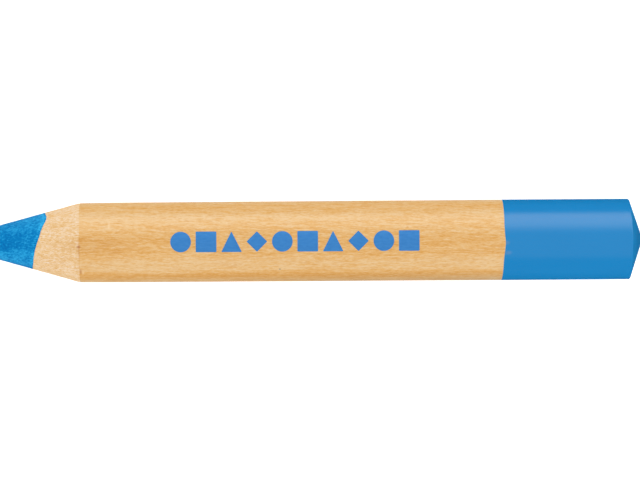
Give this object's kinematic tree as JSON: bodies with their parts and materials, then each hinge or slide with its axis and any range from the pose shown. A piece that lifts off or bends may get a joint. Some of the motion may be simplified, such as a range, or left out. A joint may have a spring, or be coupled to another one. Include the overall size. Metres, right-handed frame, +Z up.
{
  "type": "crayon",
  "caption": "Thick round wood-cased crayon with a blue wax core, sharpened to a blunt cone at one end, dipped in blue lacquer over a shallow cone at the other.",
  "frame": {"origin": "on the surface the crayon lies on, under the middle of its length", "axes": "+X from the writing tip to the dipped end, +Z up, through the stamped marks"},
  "size_m": [0.1242, 0.0146, 0.0147],
  "materials": {
    "raw_wood": "matte",
    "blue_wax": "satin",
    "wood_glue": "matte",
    "varnished_wood": "satin",
    "blue_lacquer": "gloss",
    "blue_foil": "satin"
  },
  "bodies": {
    "root": {"wood_slat_front": "raw_wood", "wood_slat_rear": "raw_wood", "wax_core": "blue_wax", "groove_glue_front": "wood_glue", "groove_glue_rear": "wood_glue", "seam_glue_top": "wood_glue", "seam_glue_bottom": "wood_glue", "varnish_coat": "varnished_wood", "dipped_cap": "blue_lacquer", "stamped_marks": "blue_foil"}
  },
  "joints": []
}
